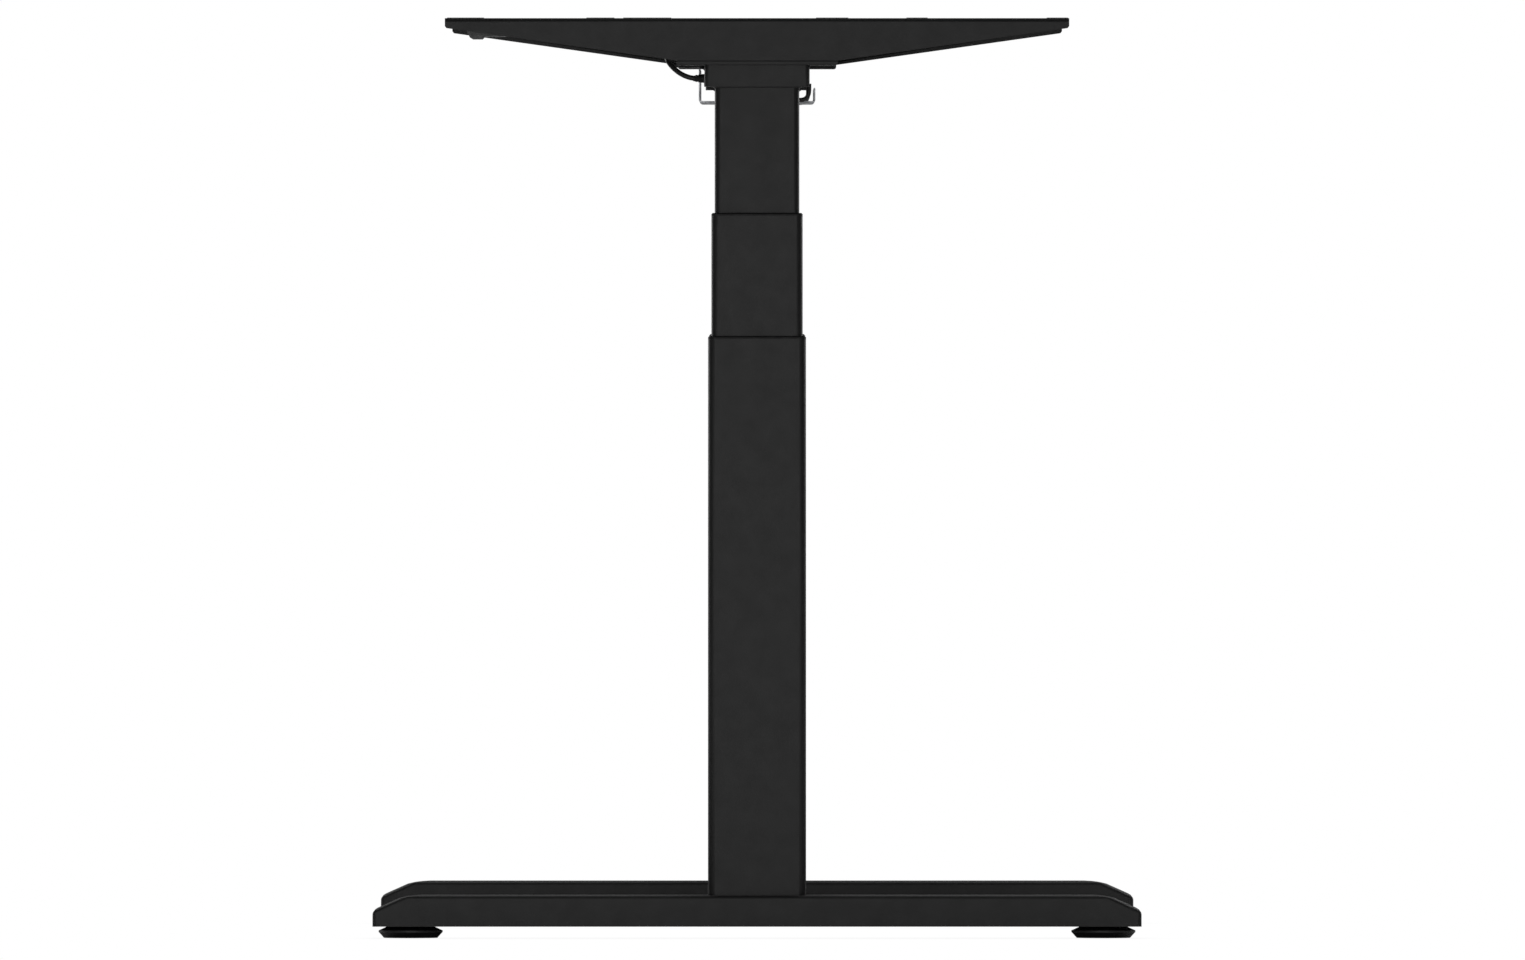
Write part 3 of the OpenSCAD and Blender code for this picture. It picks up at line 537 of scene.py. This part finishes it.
def lay_motor_cable():
    """The right motor's cable, swept as a fixed tube and baked in place. The fold in the tray is the
    slack that the real one pays out as the crossbeam telescopes."""
    points = [mm(*p) for p in MOTOR_ROUTE]
    piece, line = sheathed("motor_cable_sheath", points, MOTOR_CABLE_R, "motor_cable")
    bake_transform(piece)


def lay_motor_leads():
    for side, sign in SIDES.items():
        points = [mm(sign * (LEG_X + x), y, z) for x, y, z in LEAD_ROUTE]
        piece, line = sheathed(f"motor_lead_sheath_{side}", points, LEAD_R, f"motor_lead_{side}")
        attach(piece, f"top_{side}")


lay_motor_cable()
lay_motor_leads()

# ---------- small fittings ----------

GLIDE_Y = 311                # each glide's axis, before and behind the leg
RAIL_Y = 60                  # each crossbeam rail's axis
RAIL_Z = 805.2
RAIL_END_X = 405             # outer end of the centre rails
WELD_Z = 764.0               # underside of the head box
BEAD_R = 0.0009              # the weld bead's radius, in metres
BEAD_STEP = 0.0015           # and the spacing of its rings
MOTOR_AXIS = (-20, 775.5)    # y and z
CLIP_X = (246, 282)          # the clips that hold the motor's cable
CLIP_LENGTH = 8
RIVET_X = (-226, -214, 214, 226)
RIVET_Y = 25
RIVET_TOP = 754.1            # where the rivets sit on the hangers
RIVET_UNDER = 750.3          # and under the tray
BOX_RIBS = 15                # cooling ribs on the control box
BOX_RIB_PITCH = 10
BOX_FOOT_Y = 31              # the control box's feet
KEY_TOP = 0.78               # height of the keys' print over the handset's face


def fitting(name, bm, material, body, bevel=0.0):
    """Finishes a small piece in its material and rides it on a body."""
    piece = finish_bmesh(name, bm, material, bevel)
    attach(piece, body)


def add_ring(bm, profile, matrix, steps):
    """Adds a turned ring: profile is a closed loop of (radius, height) points."""
    start = len(bm.verts)
    add_lathe(bm, [*profile, profile[0]], matrix, steps)
    bm.verts.ensure_lookup_table()
    bmesh.ops.remove_doubles(bm, verts=bm.verts[start:], dist=1e-7)


def round_outline(width, height, radius, steps=5):
    """A rectangle with round corners, as (x, y) points."""
    points = []
    for corner, (i, j) in enumerate(((1, 1), (-1, 1), (-1, -1), (1, -1))):
        for k in range(steps + 1):
            a = math.radians(90 * (corner + k / steps))
            points.append((i * (width / 2 - radius) + radius * math.cos(a),
                           j * (height / 2 - radius) + radius * math.sin(a)))
    return points


def add_band(bm, outer, inner, depth, matrix):
    """Adds the band between two outlines that have the same number of points."""
    layers = [[bm.verts.new(matrix @ Vector((x, y, z))) for x, y in outline]
              for outline, z in ((outer, 0), (outer, depth), (inner, depth), (inner, 0))]
    count = len(outer)
    for a, b in zip(layers, [*layers[1:], layers[0]]):
        for k in range(count):
            following = (k + 1) % count
            bm.faces.new([a[k], a[following], b[following], b[k]])


def scaled(outline):
    """An outline in millimetres, as points in metres."""
    return [(x * MM, y * MM) for x, y in outline]


def profile_mm(*points):
    """A turned profile in metres, from (radius, height) points in millimetres."""
    return scaled(points)


SCREW_HEAD = profile_mm((0, 0.7), (1.1, 0.7), (1.2, 1.6), (2.2, 1.3), (2.6, 0), (0, 0))


def glide_trims():
    """A rubber sole and a paler rim band on each levelling glide."""
    for side, sign in SIDES.items():
        for place, y in (("front", -GLIDE_Y), ("rear", GLIDE_Y)):
            at = Matrix.Translation(mm(sign * LEG_X, y, 0))
            bm = bmesh.new()
            rim = profile_mm((28.2, 4.7), (28.75, 5.0), (28.8, 5.8), (28.75, 6.7), (28.2, 7.0))
            add_ring(bm, rim, at, 96)
            fitting(f"glide_rim_{place}_{side}", bm, BAND, f"glide_{place}_{side}")
            bm = bmesh.new()
            for inner, outer in ((21.6, 23.4), (17.2, 19.0), (12.8, 14.6)):
                add_ring(bm, profile_mm((inner, 0.8), (inner, 0.02), (outer, 0.02), (outer, 0.8)), at, 72)
            fitting(f"glide_tread_{place}_{side}", bm, GROMMET, f"glide_{place}_{side}")


def cable_boots():
    """Ribbed strain reliefs where the motor's cable leaves the head box and enters the control box."""
    profile = profile_mm((0, -0.4), (3.9, -0.4), (3.9, 1.4), (3.3, 1.7), (3.3, 2.4), (3.6, 2.7),
                         (3.5, 3.9), (3.0, 4.2), (3.0, 4.9), (3.25, 5.2), (3.15, 6.4), (2.7, 6.8),
                         (2.5, 8.6), (0, 8.6))
    for name, direction, at, body in (
        ("boot_head", (0, -1, 0), mm(*HEAD_PORT), "top_right"),
        ("boot_box", (1, 0, 0), mm(*BOX_PORT), "crossbeam"),
    ):
        bm = bmesh.new()
        add_lathe(bm, profile, turned(direction, at), 32)
        fitting(name, bm, GROMMET, body)


def cable_clips():
    """Saddles that hold the motor's cable to the front of the rail."""
    arch = [(-71, 786.6), (-72.3, 786.6), (-72.6, 790.2)]
    arch += [(-75.3 + 4.1 * math.cos(a), 795.1 + 4.1 * math.sin(a))
             for a in (math.radians(300 - 20 * k) for k in range(13))]
    arch += [(-72.6, 800), (-72.3, 803.6), (-71, 803.6)]
    for k, x in enumerate(CLIP_X):
        # x, y and z of the outline become y, z and x of the desk
        start = (x - CLIP_LENGTH / 2) * MM
        place = Matrix(((0, 0, 1, start), (1, 0, 0, 0), (0, 1, 0, 0), (0, 0, 0, 1)))
        bm = bmesh.new()
        add_prism(bm, scaled(arch), CLIP_LENGTH * MM, place)
        fitting(f"cable_clip_{k + 1}", bm, GROMMET, "crossbeam", bevel=0.0004)


def rail_bushes():
    """Nylon bushes on the ends of the centre rails, where the end rails slide out."""
    outer = scaled(round_outline(23.2, 36.2, 3.4))
    inner = scaled(round_outline(17.9, 30.9, 2.4))
    for side, sign in SIDES.items():
        bm = bmesh.new()
        for y in (-RAIL_Y, RAIL_Y):
            end = turned((sign, 0, 0), mm(sign * RAIL_END_X, y, RAIL_Z))
            add_band(bm, outer, inner, 2.4 * MM, end @ Matrix.Rotation(math.radians(90), 4, "Z"))
        fitting(f"rail_bushes_{side}", bm, COLLAR, "crossbeam", bevel=0.0004)


def rivets():
    """Domed rivets that hold the tray to its hangers."""
    dome = profile_mm((0, 1.5), (1.6, 1.25), (2.8, 0.6), (3.2, 0), (0, 0))
    bm = bmesh.new()
    for x in RIVET_X:
        for y in (-RIVET_Y, RIVET_Y):
            add_lathe(bm, dome, turned((0, 0, 1), mm(x, y, RIVET_TOP)), 24)
            add_lathe(bm, dome, turned((0, 0, -1), mm(x, y, RIVET_UNDER)), 24)
    fitting("tray_rivets", bm, ZINC, "crossbeam")


def head_welds():
    """The bead that joins each inner tube to the underside of its head box."""
    outline = round_outline(50.2, 78.2, 6, 8)
    for side, sign in SIDES.items():
        corners = [mm(sign * LEG_X + x, y, WELD_Z) for x, y in [*outline, outline[0]]]
        line = smooth_route(corners, BEAD_STEP)
        bead = tube_along(f"head_weld_{side}", line, BEAD_R, PAINT, 8)
        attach(bead, f"top_{side}")


def motor_trims():
    """Each motor's seams, the screws of its end cap, its hub and the grommet of its lead."""
    seam = profile_mm((20.6, -0.7), (21.35, -0.5), (21.35, 0.5), (20.6, 0.7))
    for side, sign in SIDES.items():
        black = bmesh.new()
        for x in (-46, -48.4, -118):
            add_ring(black, seam, turned((sign, 0, 0), mm(sign * (LEG_X + x), *MOTOR_AXIS)), 72)
        end = turned((-sign, 0, 0), mm(sign * (LEG_X - 128), *MOTOR_AXIS))
        add_lathe(black, profile_mm((0, 2.4), (5.2, 2.4), (6.4, 1.6), (6.8, 0), (0, 0)), end, 36)
        grommet = turned((sign, 0, 0), mm(sign * (LEG_X - 38.3), *LEAD_PORT))
        add_ring(black, profile_mm((2.1, 0), (3.6, 0), (3.4, 1.0), (2.6, 1.5), (2.1, 1.5)), grommet, 24)
        fitting(f"motor_trim_{side}", black, ENAMEL, f"top_{side}")
        bright = bmesh.new()
        for k in range(4):
            a = math.radians(45 + 90 * k)
            place = end @ Matrix.Translation(mm(13.5 * math.cos(a), 13.5 * math.sin(a), 0))
            add_lathe(bright, SCREW_HEAD, place, 20)
        fitting(f"motor_screws_{side}", bright, ZINC, f"top_{side}")


def control_box_trims():
    """Cooling ribs, a parting line, screwed feet and a lamp on the control box."""
    bm = bmesh.new()
    for k in range(BOX_RIBS):
        x = (k - (BOX_RIBS - 1) / 2) * BOX_RIB_PITCH
        add_block(bm, mm(x - 1.6, -24, 781.6), mm(x + 1.6, 24, 782.6))
    seam = scaled(round_outline(240.8, 72.8, 6.4))
    add_band(bm, seam, scaled(round_outline(238, 70, 5)), 0.8 * MM, Matrix.Translation(mm(0, 0, 773)))
    for i in (-1, 1):
        for y in (-BOX_FOOT_Y, BOX_FOOT_Y):
            low, high = sorted((i * 119.5, i * 130))
            add_block(bm, mm(low, y - 4.5, 751.85), mm(high, y + 4.5, 754))
    fitting("control_box_trim", bm, BOX, "crossbeam", bevel=0.0005)
    bm = bmesh.new()
    for i in (-1, 1):
        for y in (-BOX_FOOT_Y, BOX_FOOT_Y):
            add_lathe(bm, SCREW_HEAD, turned((0, 0, 1), mm(i * 125.5, y, 754)), 24)
    fitting("control_box_screws", bm, ZINC, "crossbeam")
    bm = bmesh.new()
    add_lathe(bm, profile_mm((0, 0.8), (0.9, 0.7), (1.5, 0.2), (1.5, -0.3), (0, -0.3)),
              turned((1, 0, 0), mm(120, 12, 768)), 20)
    fitting("control_box_lamp", bm, LIT, "crossbeam")
    bm = bmesh.new()
    for j in (-1, 1):
        add_lathe(bm, profile_mm((0, 0.6), (0.8, 0.5), (1.25, 0), (1.25, -1), (0, -1)),
                  turned((-1, 0, 0), mm(-117, 20 + 4.3 * j, 768)), 16)
    fitting("inlet_pins", bm, BRASS, "crossbeam")


# The handset's face: x along it, y up it, z out of it
FACE = Matrix.Translation(mm(392, -261.25, 815)) @ Matrix.Rotation(math.pi / 2 + math.atan(0.5), 4, "X")
SEGMENTS = {                 # each stroke of a seven-segment figure: centre and whether it lies flat
    "a": (0, 2, True), "b": (1, 1, False), "c": (1, -1, False), "d": (0, -2, True),
    "e": (-1, -1, False), "f": (-1, 1, False), "g": (0, 0, True),
}
FIGURES = {"1": "bc", "2": "abged", "3": "abgcd", "8": "abcdefg"}


def add_figure(bm, figure, x, half, height, depth):
    """Adds a seven-segment figure on the face: half is half the length of a stroke's cell."""
    for stroke in FIGURES[figure]:
        i, j, flat = SEGMENTS[stroke]
        reach = (0.80, 0.20) if flat else (0.20, 0.80)
        low = (x + (i - reach[0]) * half, (j - reach[1]) * half, height)
        high = (x + (i + reach[0]) * half, (j + reach[1]) * half, height + depth)
        add_block(bm, mm(*low), mm(*high), FACE)


def handset_face():
    """The display with its figures, and what is printed on the keys."""
    bm = bmesh.new()
    sunk = FACE @ Matrix.Translation(mm(0, 0, -0.8))
    add_prism(bm, scaled(round_outline(33.4, 7.9, 0.9)), 0.65 * MM, sunk)
    fitting("display_glass", bm, GLASS, "top_right", bevel=0.00015)
    bm = bmesh.new()
    for x, figure in ((-3, "8"), (3, "3")):
        add_figure(bm, figure, x, 1.35, -0.16, 0.06)
    fitting("display_figures", bm, LIT, "top_right")
    for key, x, figure in (("memory_1", -44, "1"), ("memory_2", -29, "2")):
        bm = bmesh.new()
        add_figure(bm, figure, x, 0.85, KEY_TOP, 0.07)
        fitting(f"print_{key}", bm, INK, f"key_{key}")
    for key, x, tip in (("up", 29, 1), ("down", 44, -1)):
        bm = bmesh.new()
        arrow = [(x - 2.2, -1.1 * tip), (x + 2.2, -1.1 * tip), (x, 1.4 * tip)]
        add_prism(bm, scaled(arrow), 0.07 * MM, FACE @ Matrix.Translation(mm(0, 0, KEY_TOP)))
        fitting(f"print_{key}", bm, INK, f"key_{key}")


glide_trims()
cable_boots()
cable_clips()
rail_bushes()
rivets()
head_welds()
motor_trims()
control_box_trims()
handset_face()

# ---------- floor, light and view ----------


def soft_floor():
    """A plain white floor, with soft shade only where the feet stand close to it."""
    bm = bmesh.new()
    bmesh.ops.create_grid(bm, x_segments=1, y_segments=1, size=30)
    mesh = bpy.data.meshes.new("floor")
    bm.to_mesh(mesh)
    bm.free()
    floor = new_object("floor", mesh)
    floor.location.z = -0.0005
    material = bpy.data.materials.new("floor_white")
    material.use_nodes = True
    tree = material.node_tree
    tree.nodes.clear()
    make = tree.nodes.new
    shade, ramp = make("ShaderNodeAmbientOcclusion"), make("ShaderNodeMapRange")
    glow, diffuse = make("ShaderNodeEmission"), make("ShaderNodeBsdfDiffuse")
    ray, mix = make("ShaderNodeLightPath"), make("ShaderNodeMixShader")
    output = make("ShaderNodeOutputMaterial")
    shade.inputs["Distance"].default_value = 0.05
    shade.samples = 8
    set_range(ramp, 0.35, 0.95, 0.93, 1.0)
    diffuse.inputs["Color"].default_value = (0.75, 0.75, 0.75, 1)
    link = tree.links.new
    link(shade.outputs["AO"], ramp.inputs["Value"])
    link(ramp.outputs["Result"], glow.inputs["Strength"])
    link(ray.outputs["Is Camera Ray"], mix.inputs["Fac"])
    link(diffuse.outputs["BSDF"], mix.inputs[1])
    link(glow.outputs["Emission"], mix.inputs[2])
    # Clear from below, so that the underside can be seen
    face, clear = make("ShaderNodeNewGeometry"), make("ShaderNodeBsdfTransparent")
    sides = make("ShaderNodeMixShader")
    link(face.outputs["Backfacing"], sides.inputs["Fac"])
    link(mix.outputs["Shader"], sides.inputs[1])
    link(clear.outputs["BSDF"], sides.inputs[2])
    link(sides.outputs["Shader"], output.inputs["Surface"])
    floor.data.materials.append(material)


def studio_world():
    """Pure white behind the object, with a dim even light for everything that isn't looked at."""
    world = bpy.data.worlds.new("studio")
    bpy.context.scene.world = world
    world.use_nodes = True
    tree = world.node_tree
    back = tree.nodes["Background"]
    dim = tree.nodes.new("ShaderNodeBackground")
    ray = tree.nodes.new("ShaderNodeLightPath")
    mix = tree.nodes.new("ShaderNodeMixShader")
    back.inputs["Color"].default_value = (1, 1, 1, 1)
    back.inputs["Strength"].default_value = 1.0
    dim.inputs["Color"].default_value = (0.96, 0.98, 1.0, 1)
    dim.inputs["Strength"].default_value = 0.04
    tree.links.new(ray.outputs["Is Camera Ray"], mix.inputs["Fac"])
    tree.links.new(dim.outputs["Background"], mix.inputs[1])
    tree.links.new(back.outputs["Background"], mix.inputs[2])
    tree.links.new(mix.outputs["Shader"], tree.nodes["World Output"].inputs["Surface"])


DESK_MIDDLE = Vector((0, 0, 0.45))


def softbox(name, place, size, power):
    """A square area light that faces the middle of the object."""
    data = bpy.data.lights.new(name, "AREA")
    data.shape = "SQUARE"
    data.size = size
    data.energy = power
    lamp = bpy.data.objects.new(name, data)
    lamp.location = place
    aim = DESK_MIDDLE - Vector(place)
    lamp.rotation_euler = aim.to_track_quat("-Z", "Y").to_euler()
    lamp.visible_camera = False
    bpy.context.scene.collection.objects.link(lamp)


soft_floor()
studio_world()
softbox("key", (3.3, -0.2, 0.5), 1.2, 14.5)
softbox("fill", (-2.8, -3.2, 1.9), 2.4, 95)
softbox("back", (-2.8, 3.2, 2.2), 2.4, 95)
softbox("top", (-1.6, 0.1, 3.2), 2.4, 16)
bpy.context.scene.view_settings.view_transform = "Standard"
bpy.context.scene.view_settings.look = "None"
